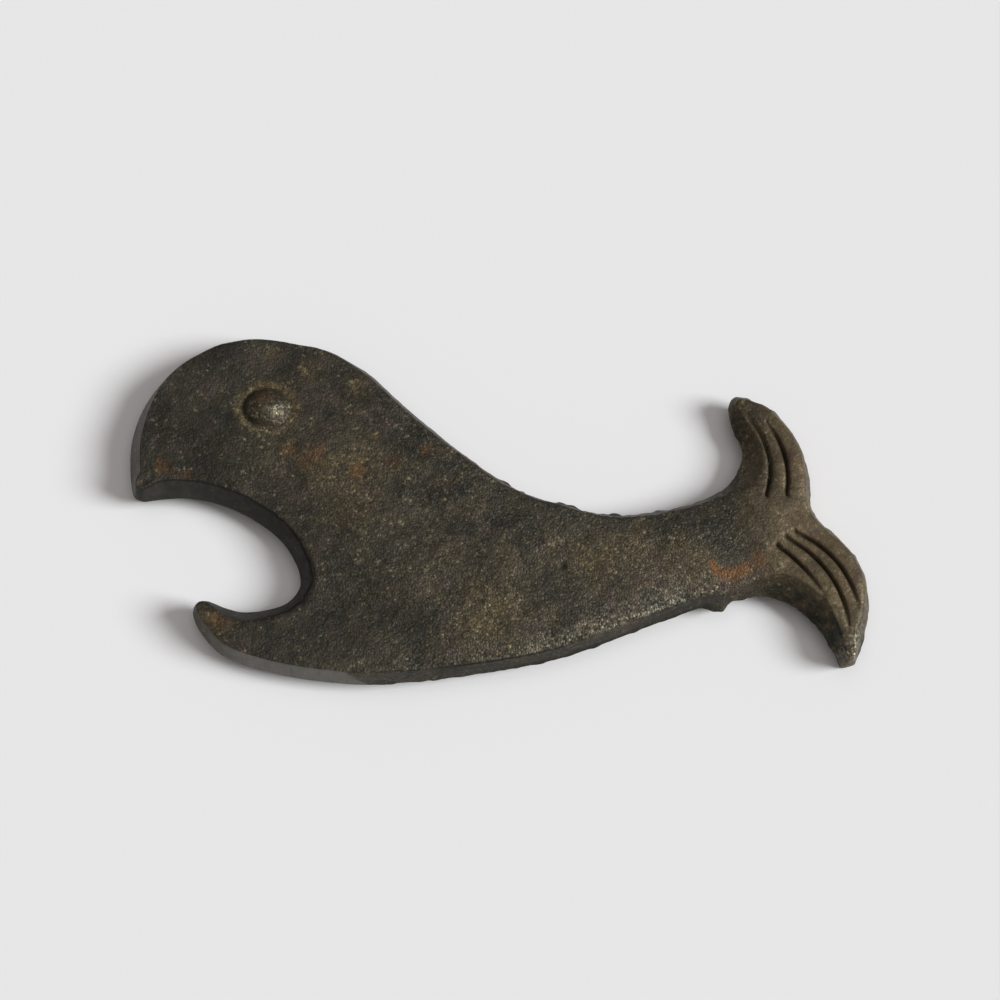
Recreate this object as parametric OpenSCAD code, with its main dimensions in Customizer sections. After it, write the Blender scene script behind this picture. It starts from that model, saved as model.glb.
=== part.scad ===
// A whale-shaped lobster cracker: one flat iron casting with an open, bevelled mouth
// that takes a claw, a raised eye, and two grooved tail flukes.
// It lies flat. X runs from the snout to the tail, Y across, Z up; all in millimetres.

/* [Casting] */
// Length over everything, from forehead to tail
overall_length = 127; // [115:1:140]
// Thickness between the two flat faces
thickness = 7.5; // [6.5:0.1:9]
// Height of the mould parting line, as a share of the thickness
parting_share = 0.5; // [0.42:0.01:0.58]
// How far the faces step in from the parting line around the body
edge_width = 1.3; // [0.8:0.1:1.5]
// How far they step in inside the mouth, where the jaws are thinned to bite
jaw_bevel = 2.3; // [1.3:0.1:2.5]
// How far they step in along the hollow inner sides of the flukes
fluke_edge = 2; // [1.2:0.1:2.2]
// Height of the rounding where a face turns into its drafted wall
edge_round = 0.8; // [0.4:0.1:1.2]

/* [Eye] */
// Diameter of the raised eye at its foot
eye_diameter = 7.8; // [6:0.2:9]
// Rise of the eye above the face
eye_rise = 1.6; // [0.8:0.1:2]
// Width of the shallow ring pressed in around the eye
eye_ring = 0.8; // [0.4:0.1:1.2]

/* [Flukes] */
// Width of a fluke groove at the face
groove_width = 1.1; // [0.6:0.1:1.3]
// Depth of a fluke groove
groove_depth = 0.6; // [0.3:0.05:0.8]

/* [Gate stub] */
// Diameter of the broken-off stub where the iron ran in
gate_diameter = 5.5; // [4:0.5:7]
// Height of the stub, which lies just under the parting line
gate_height = 2.4; // [1.6:0.2:2.8]

/* [Hidden] */

// Longest straight piece allowed in the outline
facet_length = 1.7;
// The smallest rounding, at the jaw points and fluke tips, where there is less iron to step in
tip_edge = 0.9;

// The head is drawn as part of a circle, from above the eye round to the forehead
head_centre = [-41.2, 8.9];
head_radius = 22;
head_from = 76;
head_to = 188;
head_steps = 8;

// The outline at the parting line, anticlockwise, as [x, y, width of its edge].
// It is drawn at its own size and brought to overall_length further down.
upper_jaw = [
    [-62.6, 3.2, edge_width],
    [-62.1, 1.7, edge_width],
    [-60.6, 1, edge_width],
    [-58, 1.3, jaw_bevel],
    [-53, 1.6, jaw_bevel],
    [-47.5, 0.5, jaw_bevel],
    [-42, -2, jaw_bevel],
    [-37, -5.8, jaw_bevel],
    [-34, -10.5, jaw_bevel],
    [-33.5, -14, jaw_bevel]
];
lower_jaw = [
    [-35.5, -16.7, jaw_bevel],
    [-39, -18, jaw_bevel],
    [-43, -18.4, jaw_bevel],
    [-46.5, -17.5, 1.7],
    [-49, -16.5, tip_edge],
    [-50.9, -17, tip_edge],
    [-51.3, -19, tip_edge],
    [-49.9, -22, edge_width],
    [-46.3, -25.8, edge_width]
];
belly = [
    [-40, -28.3, edge_width],
    [-31, -30.1, edge_width],
    [-21, -30.8, edge_width],
    [-6, -29.3, edge_width],
    [10.5, -26.2, edge_width],
    [26.5, -20.3, edge_width],
    [34.5, -17.4, edge_width],
    [40, -16, edge_width],
    [46, -15.3, fluke_edge]
];
lower_fluke = [
    [50.5, -17, fluke_edge],
    [54.2, -20.3, fluke_edge],
    [57, -24.9, edge_width],
    [58.8, -27.6, tip_edge],
    [60.4, -27.3, tip_edge],
    [62.4, -22.5, edge_width],
    [63.5, -16.5, edge_width],
    [63.3, -12, edge_width],
    [61, -7, edge_width],
    [56, -2, edge_width]
];
upper_fluke = [
    [54.6, 0.8, edge_width],
    [54.5, 6, edge_width],
    [53, 12.3, edge_width],
    [49, 18, edge_width],
    [45, 20.4, edge_width],
    [42.2, 20.8, tip_edge],
    [40.8, 19, tip_edge],
    [41.5, 14.8, edge_width],
    [42.9, 11, fluke_edge],
    [41.8, 6.6, fluke_edge],
    [37.5, 2.7, edge_width]
];
back = [
    [29, 0, edge_width],
    [20, -1, edge_width],
    [11, 1, edge_width],
    [3.5, 3.6, edge_width],
    [-7, 10.9, edge_width],
    [-15.5, 18.2, edge_width],
    [-22.5, 24.7, edge_width],
    [-29, 28.6, edge_width]
];
head = [for (i = [0:head_steps])
    let (a = head_from + (head_to - head_from) * i / head_steps)
    [head_centre[0] + head_radius * cos(a), head_centre[1] + head_radius * sin(a), edge_width]];

drawn = concat(upper_jaw, lower_jaw, belly, lower_fluke, upper_fluke, back, head);

// Grooves in the face of the flukes: each is an arc through three points
upper_grooves = [
    [[43.4, 16.8], [47, 9], [46, 1.5]],
    [[46.6, 15.6], [49.7, 9], [49.6, 1.6]]
];
lower_grooves = [
    [[50.6, -4.6], [57.2, -9.3], [61, -18.4]],
    [[48.9, -5.5], [55.9, -11.5], [59.2, -21.8]],
    [[47.4, -7], [52, -11.1], [55.2, -16]]
];
eye_place = [-39.8, 16.9];
gate_place = [37.2, -15.6];

// A closed smooth curve: each span is a cubic that leaves and arrives along the chord
// between a point's two neighbours, so an uneven spacing makes no wiggles
function wrap(list, i) = list[(i + len(list)) % len(list)];
function gap(list, i) =
    let (a = wrap(list, i), b = wrap(list, i + 1))
    norm([b[0] - a[0], b[1] - a[1]]);
function heading(list, i) =
    (wrap(list, i + 1) - wrap(list, i - 1)) / (gap(list, i - 1) + gap(list, i));
function span_point(list, i, t) =
    let (d = gap(list, i))
    wrap(list, i) * (2 * pow(t, 3) - 3 * pow(t, 2) + 1)
    + heading(list, i) * d * (pow(t, 3) - 2 * pow(t, 2) + t)
    + wrap(list, i + 1) * (3 * pow(t, 2) - 2 * pow(t, 3))
    + heading(list, i + 1) * d * (pow(t, 3) - pow(t, 2));
function smooth_loop(list) = [for (i = [0:len(list) - 1])
    let (steps = ceil(gap(list, i) / facet_length))
    for (k = [0:steps - 1]) span_point(list, i, k / steps)];

raw = smooth_loop(drawn);
low_x = min([for (p = raw) p[0]]);
high_x = max([for (p = raw) p[0]]);
low_y = min([for (p = raw) p[1]]);
high_y = max([for (p = raw) p[1]]);
grow = overall_length / (high_x - low_x);

// From the drawing to the casting: centred over the origin, at its real length
function placed(p) = [(p[0] - (low_x + high_x) / 2) * grow, (p[1] - (low_y + high_y) / 2) * grow];

outline = [for (p = raw) placed(p)];
edge = [for (p = raw) p[2]];
count = len(outline);
parting = thickness * parting_share;

// The outward normal of the outline at a point
function outward(i) =
    let (d = wrap(outline, i + 1) - wrap(outline, i - 1))
    [d[1], -d[0]] / norm(d);
normals = [for (i = [0:count - 1]) outward(i)];
function stepped_in(share, more = 0) =
    [for (i = [0:count - 1]) outline[i] - normals[i] * (edge[i] * share + more)];

// The edge in section, from the bottom face round to the top: [share of the edge width,
// millimetres further in, height]. Its last two corners bury it in the slab.
overlap = 0.3;
section = [
    [1, 0, 0],
    [0.55, 0, edge_round],
    [0, 0, parting],
    [0.55, 0, thickness - edge_round],
    [1, 0, thickness],
    [1, overlap, thickness - 2 * overlap],
    [1, overlap, 2 * overlap]
];

// The circle through three points, and the angles at which it meets the first and last
function arc_centre(a, b, c) =
    let (d = 2 * (a[0] * (b[1] - c[1]) + b[0] * (c[1] - a[1]) + c[0] * (a[1] - b[1])))
    [(a * a * (b[1] - c[1]) + b * b * (c[1] - a[1]) + c * c * (a[1] - b[1])) / d,
     (a * a * (c[0] - b[0]) + b * b * (a[0] - c[0]) + c * c * (b[0] - a[0])) / d];
function bearing(from, to) = atan2(to[1] - from[1], to[0] - from[0]);

// The part between the two flat faces that the edge runs round
module slab() {
    linear_extrude(height = thickness) polygon(stepped_in(1));
}

// The drafted and rounded edge, widest at the parting line, as a closed band
module drafted_edge() {
    rows = len(section);
    rings = [for (s = section)
        let (ring = stepped_in(s[0], s[1]))
        [for (p = ring) [p[0], p[1], s[2]]]];
    points = [for (ring = rings) each ring];
    faces = [for (r = [0:rows - 1], i = [0:count - 1])
        let (j = (i + 1) % count, up = ((r + 1) % rows) * count, low = r * count)
        each [[low + i, up + i, low + j], [low + j, up + i, up + j]]];
    polyhedron(points = points, faces = faces);
}

// A domed eye with a shallow ring pressed in around its foot
module eye_dome() {
    foot = eye_diameter / 2;
    ball = (foot * foot + eye_rise * eye_rise) / (2 * eye_rise);
    translate([placed(eye_place)[0], placed(eye_place)[1], thickness + eye_rise - ball])
        intersection() {
            sphere(r = ball, $fn = 64);
            translate([0, 0, ball - eye_rise - edge_round])
                cylinder(r = foot, h = eye_rise + edge_round, $fn = 64);
        }
}

module eye_hollow() {
    depth = eye_ring / 4;
    translate([placed(eye_place)[0], placed(eye_place)[1], thickness])
        rotate_extrude($fn = 64)
            translate([eye_diameter / 2 + eye_ring / 2, eye_ring / 2 - depth])
                circle(r = eye_ring * 0.55, $fn = 24);
}

// One groove: a round-bottomed channel along an arc
module groove(points) {
    a = placed(points[0]);
    b = placed(points[1]);
    c = placed(points[2]);
    centre = arc_centre(a, b, c);
    radius = norm(a - centre);
    turn = (bearing(centre, c) - bearing(centre, a) + 540) % 360 - 180;
    tool = (pow(groove_width / 2, 2) + groove_depth * groove_depth) / (2 * groove_depth);
    height = thickness - groove_depth + tool;
    translate([centre[0], centre[1], height])
        rotate([0, 0, min(bearing(centre, a), bearing(centre, a) + turn)])
            rotate_extrude(angle = abs(turn), $fn = 96)
                translate([radius, 0]) circle(r = tool, $fn = 24);
}

// The stub left where the iron ran in, through a channel cut in the lower half of the mould
module gate_stub() {
    below = 0.15;
    translate([placed(gate_place)[0], placed(gate_place)[1], parting - below - gate_height])
        cylinder(d = gate_diameter, h = gate_height, $fn = 32);
}

module whale_casting() {
    color([0.24, 0.22, 0.19])
        union() {
            difference() {
                union() {
                    slab();
                    drafted_edge();
                    gate_stub();
                }
                for (points = concat(upper_grooves, lower_grooves)) groove(points);
                eye_hollow();
            }
            eye_dome();
        }
}

whale_casting();
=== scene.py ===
# %% [markdown]
# # A whale-shaped lobster cracker in cast iron
#
# The real object is one flat piece of iron, cast in sand, in the outline of a whale. A claw
# or a shell goes into the open mouth and the body is the handle. Nothing on it moves, so the
# lesson is about one surface: how rough castings get their shape and their skin.
#
# The design already exists as a CAD model, which gives the outline, the thickness, the eye
# and the grooves exactly. It is smooth and sharp. Here the same casting is made again as one
# fine mesh, with the soft edges, the parting line and the sand texture of the real one.

# %% Load the frame
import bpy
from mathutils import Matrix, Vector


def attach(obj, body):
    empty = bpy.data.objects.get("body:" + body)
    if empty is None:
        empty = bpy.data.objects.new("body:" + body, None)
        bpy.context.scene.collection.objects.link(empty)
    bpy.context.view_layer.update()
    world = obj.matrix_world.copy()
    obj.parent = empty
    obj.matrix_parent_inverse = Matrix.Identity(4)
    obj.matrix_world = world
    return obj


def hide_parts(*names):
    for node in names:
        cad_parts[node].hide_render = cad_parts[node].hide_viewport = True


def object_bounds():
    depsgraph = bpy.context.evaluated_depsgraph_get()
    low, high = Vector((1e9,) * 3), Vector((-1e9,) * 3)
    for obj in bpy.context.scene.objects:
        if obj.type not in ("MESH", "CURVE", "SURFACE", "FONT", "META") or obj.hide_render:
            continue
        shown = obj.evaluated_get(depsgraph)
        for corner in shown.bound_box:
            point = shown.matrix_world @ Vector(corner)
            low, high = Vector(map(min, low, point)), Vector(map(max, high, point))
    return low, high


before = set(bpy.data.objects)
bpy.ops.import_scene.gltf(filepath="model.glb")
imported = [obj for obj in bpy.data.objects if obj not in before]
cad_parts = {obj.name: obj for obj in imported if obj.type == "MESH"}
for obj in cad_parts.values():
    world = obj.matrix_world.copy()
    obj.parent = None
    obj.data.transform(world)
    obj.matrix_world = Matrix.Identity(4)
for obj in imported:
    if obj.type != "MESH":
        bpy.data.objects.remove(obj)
cad_box = [list(corner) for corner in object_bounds()]

# %% What the other cells use
import math

import bmesh
import bpy
import numpy as np
from mathutils import Matrix, Vector
from mathutils.geometry import delaunay_2d_cdt

MM = 0.001
NODE = "whale_casting"
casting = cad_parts[NODE]
box_low, box_high = (np.array(corner) / MM for corner in cad_box)
box_middle = (box_low + box_high) / 2
print("The casting measures", (box_high - box_low).round(2), "mm")

# %% [markdown]
# ## The camera
#
# A small flat thing is usually looked at from above while it lies on a table. The camera
# stands about a third of a metre up and leans back by some 17 degrees, so the walls on the
# near side show. It could track a target, but one turn about a level axis is enough, and it
# keeps the picture's sideways direction nearly along X, as for someone who stands at the table.

# %% Camera
LEAN = math.radians(17.4)
LEAN_TOWARDS = math.radians(-7.7)
DISTANCE = 345.8
AIM = (0.34, 1.67, 3.75)        # mm from the middle of the casting's plan and from the table
FOCAL_LENGTH = 72
SENSOR_WIDTH = 36
aim = Vector((box_middle[0] + AIM[0], box_middle[1] + AIM[1], AIM[2])) * MM

camera_data = bpy.data.cameras.new("camera")
camera_data.lens = FOCAL_LENGTH
camera_data.sensor_width = SENSOR_WIDTH
camera = bpy.data.objects.new("camera", camera_data)
bpy.context.scene.collection.objects.link(camera)
bpy.context.scene.camera = camera
lean_axis = Vector((math.cos(LEAN_TOWARDS), math.sin(LEAN_TOWARDS), 0))
turn = Matrix.Rotation(LEAN, 4, lean_axis)
camera.matrix_world = Matrix.Translation(aim + turn @ Vector((0, 0, DISTANCE * MM))) @ turn
print("The camera stands at", [round(c / MM) for c in camera.location], "mm")

# %% [markdown]
# ## Reading the outline from the CAD model
#
# The outline could be drawn again by hand, but then it would drift from the design. It is
# cut from the CAD mesh instead: a copy is merged, sliced level with Blender's bisect tool,
# and the cut edges are joined end to end. One slice just above the parting line gives the
# widest outline. One through the bottom skin gives the edge of the flat face. One just under
# the top face also passes through the grooves, and one above the face passes through the eye.

# %% Slice the CAD mesh
def cut_loops(height):
    """Closed loops, longest first, where a level plane at the height (mm) cuts the casting."""
    mesh = bmesh.new()
    mesh.from_mesh(casting.data)
    bmesh.ops.remove_doubles(mesh, verts=mesh.verts, dist=0.001 * MM)
    parts = mesh.verts[:] + mesh.edges[:] + mesh.faces[:]
    level = (0, 0, height * MM)
    cut = bmesh.ops.bisect_plane(mesh, geom=parts, plane_co=level, plane_no=(0, 0, 1))
    left = {e for e in cut["geom_cut"] if isinstance(e, bmesh.types.BMEdge)}
    loops = []
    while left:
        edge = left.pop()
        corner = edge.verts[1]
        loop = [corner]
        while True:
            edge = next((e for e in corner.link_edges if e in left), None)
            if edge is None:
                break
            left.remove(edge)
            corner = edge.other_vert(corner)
            loop.append(corner)
        loops.append(in_order(np.array([v.co[:2] for v in loop]) / MM))
    mesh.free()
    return sorted(loops, key=loop_length, reverse=True)


def in_order(loop):
    """The same loop, anticlockwise and starting at its right-most point."""
    nxt = np.roll(loop, -1, axis=0)
    if (loop[:, 0] * nxt[:, 1] - loop[:, 1] * nxt[:, 0]).sum() < 0:
        loop = loop[::-1]
    return np.roll(loop, -loop[:, 0].argmax(), axis=0)


def steps(loop):
    """Distance from each point of a closed loop to the next one."""
    return np.linalg.norm(np.roll(loop, -1, axis=0) - loop, axis=1)


def loop_length(loop):
    """Length all the way round a closed loop."""
    return steps(loop).sum()


# %% Find the face and the parting line
corners = np.empty(len(casting.data.vertices) * 3)
casting.data.vertices.foreach_get("co", corners)
corners = corners.reshape(-1, 3) / MM
PARTING = corners[corners[:, 0].argmax(), 2]
FACE = PARTING * 2
SKIN = 0.01             # mm: how far the first two slices stay off the planes that they follow
NEAR_FACE = 0.3         # mm: how far the other two are below and above the top face
outline_raw = cut_loops(PARTING + SKIN)[0]
bottom_raw = cut_loops(SKIN)[0]
groove_loops = cut_loops(FACE - NEAR_FACE)[1:]
eye_loop = cut_loops(FACE + NEAR_FACE)[0]
print(f"Parting line at {PARTING:.2f} mm, face at {FACE:.2f} mm, {len(groove_loops)} grooves")

# %% [markdown]
# ## Even points all the way round
#
# The slice has a point at every corner of the CAD facets, some far apart and some almost
# touching. A fine mesh needs equal steps. A Catmull-Rom curve passes through every corner and
# leaves each one in the direction of its two neighbours, so it rounds the facets off without
# moving the outline, and the points are then placed at equal lengths along it.

# %% Smooth a loop and space its points evenly
STEP = 0.36             # mm between points round the outline
BOTTOM_STEP = 0.25      # mm between points round the edge of the flat face
CLOSE = 0.15            # mm: corners of a slice that are nearer together count as one
PIECES = 16             # short straight pieces between two corners of the curve


def even_loop(loop, spacing):
    """Catmull-Rom through the loop's corners, then points at equal lengths along it."""
    p1 = loop[steps(loop) > CLOSE]
    p0, p2, p3 = (np.roll(p1, shift, axis=0)[:, None] for shift in (1, -1, -2))
    p1 = p1[:, None]
    t = np.linspace(0, 1, PIECES, endpoint=False)[None, :, None]
    bend = 2 * p0 - 5 * p1 + 4 * p2 - p3
    twist = -p0 + 3 * p1 - 3 * p2 + p3
    curve = (p1 + (p2 - p0) * t / 2 + bend * t**2 / 2 + twist * t**3 / 2).reshape(-1, 2)
    along = np.concatenate([[0], np.cumsum(steps(curve))])
    places = np.linspace(0, along[-1], int(along[-1] / spacing), endpoint=False)
    closed = np.vstack([curve, curve[:1]])
    return np.column_stack([np.interp(places, along, closed[:, k]) for k in (0, 1)])


outline = even_loop(outline_raw, STEP)
bottom_edge = even_loop(bottom_raw, BOTTOM_STEP)
ahead = np.roll(outline, -2, axis=0) - np.roll(outline, 2, axis=0)
outward = np.column_stack([ahead[:, 1], -ahead[:, 0]]) / np.linalg.norm(ahead, axis=1)[:, None]
count = len(outline)
print(f"{count} points round the outline, {loop_length(outline):.0f} mm in all")

# %% [markdown]
# ## How wide and how soft the edge is
#
# A casting leaves its mould because its walls lean in towards each face: that is the draft.
# The lean here is the distance from the outline to the flat face's edge, so it comes from the
# CAD too. It must fit between the walls at the narrow tips. The room at a point is the radius
# of the largest circle that touches the outline there from inside, found from pairs of points.
#
# One number for each point of the outline is enough to describe the whole edge. All such
# values are arrays of the same length, so they can be added, multiplied and blurred.

# %% Tools for values along the outline
def blur(values, reach):
    """Average each value with its neighbours, weighted by a bell of that reach in mm."""
    span = int(3 * reach / STEP) + 1
    shifts = np.arange(-span, span + 1)
    bell = np.exp(-((shifts * STEP / reach) ** 2))
    stack = np.stack([np.roll(values, shift) for shift in shifts])
    return (bell[:, None] * stack).sum(axis=0) / bell.sum()


def ramp(value, start, end):
    """0 before start, 1 after end, and an S-shaped rise between them."""
    t = np.clip((value - start) / (end - start), 0, 1)
    return t * t * (3 - 2 * t)


def pair_squares(points, centres):
    """Squared distance from every point to every centre, as a table."""
    squares = (points**2).sum(axis=1)[:, None] + (centres**2).sum(axis=1)[None]
    return np.maximum(squares - 2 * points @ centres.T, 0)


def room_inside(points, directions):
    """Radius of the largest circle that touches each point from inside: chord² / (2 · depth)."""
    depth = (points * directions).sum(axis=1)[:, None] - directions @ points.T
    chord = pair_squares(points, points)
    radius = np.where(chord > 1, chord / (2 * np.maximum(depth, 1e-6)), np.inf)
    return radius.min(axis=1)


x, y = outline.T
facing_x, facing_y = outward.T
room = room_inside(outline, outward)
edge_width = blur(np.sqrt(pair_squares(outline, bottom_edge).min(axis=1)), 1.0)
print(f"The walls lean in by {edge_width.min():.2f} to {edge_width.max():.2f} mm")

# %% [markdown]
# ## Stretches of the edge that were treated differently
#
# After casting, two strips were ground clean, one down the snout and one under the lower jaw,
# and the inside of the mouth was filed. The flukes and the belly have edges of their own. Each
# stretch is a product of ramps that ask which way the wall faces and where it is along X and Y,
# in millimetres. That is easier to move about than a list of point numbers.

# %% Name the stretches
STRIP_SLANT = 4         # mm that a ground strip is shorter at the face than at the parting line


def ground_strips(level):
    """The two strips that were ground clean, which get shorter away from the parting line."""
    shorter = STRIP_SLANT * np.abs(level) / (FACE - PARTING)
    head = ramp(-facing_x, 0.25, 0.45) * ramp(-x - shorter, 46.5, 47.3) * ramp(y, 1.2, 2.6)
    under_jaw = ramp(-facing_y - 0.5 * facing_x, 0.1, 0.4) * ramp(-y, 15, 18)
    # Towards the jaw's left tip the strip fades to 0.15: painted shade, as the facet there turns
    # away from the light and is left darker than bare metal.
    jaw = under_jaw * ramp(-x - shorter, 21.7, 22.5) * (0.15 + 0.85 * ramp(x, -52, -42))
    return np.maximum(0.65 * head, jaw)


ground = (ground_strips(0) > 0.1) * 1.0
flukes = ramp(x, 35, 42)
belly = ramp(-facing_y, 0.4, 0.8) * ramp(x, -18, -4) * (1 - flukes)
mouth = ramp(-x, 32, 34) * ramp(y, -19.5, -17.5) * ramp(-y, -5, -3) * (1 - ground)
filed = np.maximum(ground, mouth)
snout = ramp(-facing_x, 0.25, 0.45) * ramp(-x, 46.5, 50) * ramp(y, 1.2, 2.6) * ramp(-y, -25, -12)
upper_inside = ramp(x, 35, 39) * ramp(-x, -53, -49) * ramp(y, 3, 7) * ramp(-facing_x, 0.1, 0.5)
lower_inside = ramp(x, 43, 48) * ramp(-y, 13, 15.5) * ramp(-facing_y, 0.1, 0.5)
print(f"{(ground > 0).mean():.0%} of the outline is ground, {(mouth > 0).mean():.0%} is mouth")

# %% [markdown]
# ## How sharply the wall turns into the face
#
# A pattern maker rounds every edge a little, or the sand would break away there. On this
# casting the ground strips are crisp, because grinding cut the rounding off. The belly and the
# upper jaw are nearly crisp, the body is softer, and the inside of the upper fluke is the
# softest. The snout and the insides of the flukes also lean back further than in the CAD model.

# %% Edge width and softness
edge_width = edge_width + blur(1.0 * upper_inside + 1.5 * lower_inside + 0.85 * snout, 1.0)
softness = 0.55 + 0.25 * flukes + 0.5 * upper_inside - 0.45 * lower_inside
softness = softness - 0.25 * belly - 0.4 * ground
softness += mouth * (0.6 * ramp(-y, 5, 12) - 0.25)
inner_room = blur(np.minimum.reduce([np.roll(room, shift) for shift in range(-3, 4)]), 0.8)
edge_width = np.minimum(edge_width, 0.62 * inner_room)
softness = blur(np.clip(softness, 0.1, 0.85 * inner_room - edge_width), 0.5)
print(f"Edge width {edge_width.min():.2f} to {edge_width.max():.2f} mm,",
      f"softness {softness.min():.2f} to {softness.max():.2f} mm")

# %% [markdown]
# ## Two tools that shape the surface
#
# Sand gives iron an uneven skin. A displacement modifier with a noise texture would do, but
# sums of waves are easy to read and can be worked out for all points at once: many cosines in
# random directions, none of which the eye can follow. The random draws have fixed seeds, so
# every run gives the same casting.
#
# Grooves, rounded edges and worn-down places are lines pressed in with a soft tool. A line is
# a row of points, each of which pushes with the shape of a bell, and together they make one
# smooth trough.

# %% Unevenness and soft lines
BLOCK = 4000            # points worked out at a time, which keeps the tables of distances small


def waves(points, length, seed, number=30):
    """Sum of cosine waves in random directions, each about `length` mm from crest to crest."""
    draw = np.random.default_rng(seed)
    direction = draw.normal(size=(number, points.shape[1]))
    direction /= np.linalg.norm(direction, axis=1)[:, None]
    turns = direction / (length * draw.uniform(0.7, 1.5, (number, 1)))
    phase = draw.uniform(0, 2 * np.pi, number)
    total = np.zeros(len(points))
    for turn_of_wave, start in zip(turns, phase):
        total += np.cos(2 * np.pi * points @ turn_of_wave + start)
    return total / math.sqrt(number / 2)


def bells(points, centres, heights, reach):
    """Sum over the centres of height · exp(−(distance / reach)²)."""
    total = np.empty(len(points))
    for start in range(0, len(points), BLOCK):
        part = slice(start, start + BLOCK)
        total[part] = np.exp(-pair_squares(points[part], centres) / reach**2) @ heights
    return total


def soft_line(points, line, depths, reach):
    """A line of equal steps pressed in: across it the depth falls as exp(−(distance / reach)²)."""
    step = np.median(np.linalg.norm(np.diff(line, axis=0), axis=1))
    return bells(points, line, depths * step / (reach * math.sqrt(np.pi)), reach)


# %% [markdown]
# ## The grooves and the eye
#
# Each groove in the CAD mesh is a long closed loop. Its two ends are the points that are
# farthest apart, and halfway between its two sides runs the line that the pattern maker's tool
# followed. With that line known, a groove can be pressed in again with any depth and width.
# The eye is a plain oval, so its middle and its size are all that is read.

# %% Centre lines of the grooves, and the eye
GROOVE_STEP = 0.25      # mm between the points of a centre line


def side_line(side, number):
    """Points at equal lengths along an open line."""
    along = np.concatenate([[0], np.cumsum(np.linalg.norm(np.diff(side, axis=0), axis=1))])
    places = np.linspace(0, along[-1], number)
    return np.column_stack([np.interp(places, along, side[:, k]) for k in (0, 1)])


def middle_line(loop):
    """The line halfway between the two long sides of a narrow loop."""
    spread = pair_squares(loop, loop)
    first, last = sorted(np.unravel_index(spread.argmax(), spread.shape))
    number = int(math.sqrt(spread.max()) / GROOVE_STEP)
    side = side_line(loop[first:last + 1], number)
    other = side_line(np.vstack([loop[last:], loop[:first + 1]])[::-1], number)
    return (side + other) / 2


grooves = [middle_line(loop) for loop in groove_loops]
eye_centre = (eye_loop.max(axis=0) + eye_loop.min(axis=0)) / 2
eye_reach = (eye_loop.max(axis=0) - eye_loop.min(axis=0)).max() / 2
print("Groove lengths:", [round(len(line) * GROOVE_STEP, 1) for line in grooves], "mm")
print("Eye at", eye_centre.round(1), "mm, radius", round(eye_reach, 2), "mm just above the face")

# %% [markdown]
# ## The shape of the face
#
# The top face is a height for every place on it. It starts flat and gets, in turn, the slow
# dips and rises of a hand-rammed mould, the softly sculpted flukes and tail, the grooves, the
# eye with the hollow round it, and the marks that sand leaves: pits where a grain stuck, and
# small raised specks where one came away from the mould.
#
# The grooves are deep near the root of the tail and grow faint towards the tips of the flukes,
# and each lies in a wider soft valley.

# %% Numbers for the face
TOP = box_high[2]
EYE_RADII = eye_reach * np.array([1.14, 1.0])
EYE_CORNER = np.array([0.65, 0.76])     # towards the upper right of the eye
TAIL_ROOT = np.array([47.0, -4.0])
GROOVE_DEPTH = 0.9
GROOVE_REACH = 0.26
VALLEY_DEPTH = 0.22
VALLEY_REACH = 1.1
FAINT = 0.35            # what is left of a groove at the tip of the fluke
SPECKS = 900
# Pits left by loose sand: place along X and Y, radius and depth, in millimetres
PITS = np.array([
    [10.8, -11.0, 0.50, 0.45],
    [-60.4, 3.3, 0.55, 0.35],
    [-59.3, 4.1, 0.45, 0.30],
    [-12.0, -4.0, 0.40, 0.20],
    [24.0, -6.5, 0.40, 0.18],
    [-48.0, 10.5, 0.35, 0.18],
])
print(f"The eye rises {TOP - FACE:.2f} mm above the face, the grooves are {GROOVE_DEPTH} mm deep")


# %% Height of the face
def slopes(points):
    """Fall of the face towards its edge: inside the upper fluke, on the belly and on the tail."""
    tail = ramp(x, 18, 32) * ramp(-x, -52, -44)
    rim = ramp(x, 46, 52)
    fall = soft_line(points, outline, 0.6 * upper_inside, 4.0)
    fall += soft_line(points, outline, 0.8 * tail + 0.75 * belly, 4.2)
    fall += soft_line(points, outline, 0.5 * rim, 2.0)
    return -fall


def groove_strength(line):
    """Full near the tail's root and faint at the tip, times 1 − u¹⁰ with u from −1 to 1."""
    from_tip = np.arange(len(line)) * GROOVE_STEP
    if np.linalg.norm(line[0] - TAIL_ROOT) < np.linalg.norm(line[-1] - TAIL_ROOT):
        from_tip = from_tip[::-1]
    ends = 1 - np.linspace(-1, 1, len(line)) ** 10
    return ends * (FAINT + (1 - FAINT) * ramp(from_tip, 0, 7))


def groove_marks(points):
    """Narrow troughs along the centre lines, in wider soft valleys."""
    marks = np.zeros(len(points))
    for line in grooves:
        marks -= soft_line(points, line, GROOVE_DEPTH * groove_strength(line), GROOVE_REACH)
        marks -= soft_line(points, line, VALLEY_DEPTH * groove_strength(line) ** 0.5, VALLEY_REACH)
    return marks


def round_the_eye(points):
    """Distance from the eye's middle in eye radii, and how far a point lies to its lower left."""
    away = (points - eye_centre) / EYE_RADII
    distance = np.linalg.norm(away, axis=1)
    return distance, 0.4 - 0.6 * (away @ EYE_CORNER) / np.maximum(distance, 0.05)


def eye_lip(points):
    """The raised lip round the eye, strongest at the lower left."""
    distance, lower_left = round_the_eye(points)
    return ramp(lower_left, 0.45, 0.95) * np.exp(-(((distance - 1.20) / 0.13) ** 2))


def eye_height(points):
    """An oval dome, (1 − distance²)^0.8, with a narrow hollow and a raised lip round it."""
    distance, lower_left = round_the_eye(points)
    dome = (TOP - FACE) * np.clip(1 - distance**2, 0, 1) ** 0.8
    hollow = lower_left * np.exp(-(((distance - 1.0) / 0.11) ** 2))
    return dome + 0.16 * eye_lip(points) - 0.16 * hollow


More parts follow.
